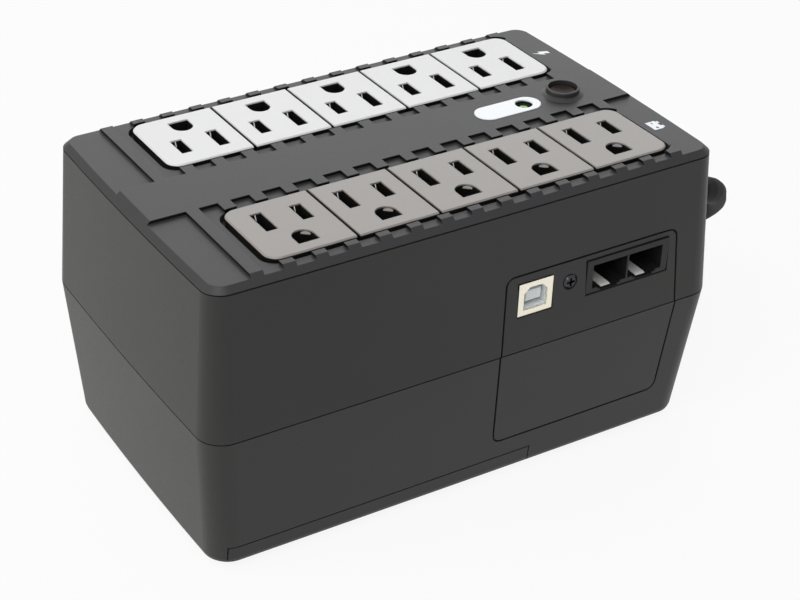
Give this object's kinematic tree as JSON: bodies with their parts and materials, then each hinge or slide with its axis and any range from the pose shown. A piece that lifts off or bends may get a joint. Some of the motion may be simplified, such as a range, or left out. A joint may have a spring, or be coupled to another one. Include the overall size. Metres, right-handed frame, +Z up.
{
  "type": "uninterruptible power supply",
  "caption": "Compact desktop uninterruptible power supply: drafted two-part charcoal housing, ribbed grey top with two rows of grounded outlets, port panel on one side.",
  "frame": {"origin": "centre of the housing's footprint, on the surface that its feet stand on", "axes": "+Z up, +X along the long side toward the end where the cord leaves, -Y toward the port side"},
  "size_m": [0.2399, 0.2423, 0.106],
  "materials": {
    "charcoal": "satin",
    "cover_grey": "satin",
    "outlet_white": "satin",
    "outlet_taupe": "satin",
    "label_grey": "satin",
    "black_plastic": "satin",
    "button_brown": "satin",
    "led_green": "glossy",
    "contact_metal": "satin",
    "plated_shell": "satin",
    "usb_insulator": "satin",
    "screw_black": "satin",
    "board_green": "satin",
    "aluminium": "satin",
    "component_black": "satin",
    "core_steel": "satin",
    "winding_tape": "satin",
    "battery_grey": "satin",
    "rubber": "matte",
    "cord_jacket": "satin",
    "brass": "satin"
  },
  "bodies": {
    "enclosure": {"lower_housing": "charcoal", "upper_housing": "charcoal", "top_cover": "cover_grey", "port_panel": "charcoal", "panel_screw": "screw_black", "led_label_plate": "label_grey", "status_led": "led_green", "surge_outlet_strip": "outlet_white", "backup_outlet_strip": "outlet_taupe", "surge_hot_bus": "contact_metal", "surge_neutral_bus": "contact_metal", "surge_ground_bus": "contact_metal", "backup_hot_bus": "contact_metal", "backup_neutral_bus": "contact_metal", "backup_ground_bus": "contact_metal", "power_switch": "black_plastic", "switch_board": "board_green", "usb_shell": "plated_shell", "usb_tongue": "usb_insulator", "jack_housing": "black_plastic", "jack_spring_left": "plated_shell", "jack_spring_right": "plated_shell", "main_board": "board_green", "heat_sink": "aluminium", "large_capacitor": "component_black", "small_capacitor": "component_black", "charging_relay": "component_black", "transfer_relay": "component_black", "transformer_core": "core_steel", "transformer_winding": "winding_tape", "transformer_bracket": "core_steel", "battery": "battery_grey", "battery_terminal_negative": "brass", "battery_terminal_positive": "brass", "housing_screw_front": "screw_black", "housing_screw_back": "screw_black", "foot_front_right": "rubber", "foot_back_right": "rubber", "breaker_body": "component_black", "strain_relief": "cord_jacket", "line_cord": "cord_jacket", "cord_coil": "cord_jacket", "plug_lead": "cord_jacket", "plug_body": "cord_jacket", "plug_blade_hot": "brass", "plug_blade_neutral": "brass", "plug_ground_pin": "brass"},
    "power_button": {"power_button": "button_brown", "switch_plunger": "black_plastic"},
    "breaker_button": {"breaker_button": "black_plastic"},
    "battery_door": {"battery_door": "charcoal", "foot_front_left": "rubber", "foot_back_left": "rubber"}
  },
  "joints": [
    {"name": "power_button_press", "type": "slide", "parent": "enclosure", "child": "power_button", "axis": [0, 0, -1], "range_m": [0, 0.002], "stiffness_N_per_m": 600, "springref_m": -0.0015},
    {"name": "breaker_reset", "type": "slide", "parent": "enclosure", "child": "breaker_button", "axis": [1, 0, 0], "range_m": [0, 0.003]},
    {"name": "battery_door_slide", "type": "slide", "parent": "enclosure", "child": "battery_door", "axis": [0, -1, 0], "range_m": [0, 0.012]}
  ]
}
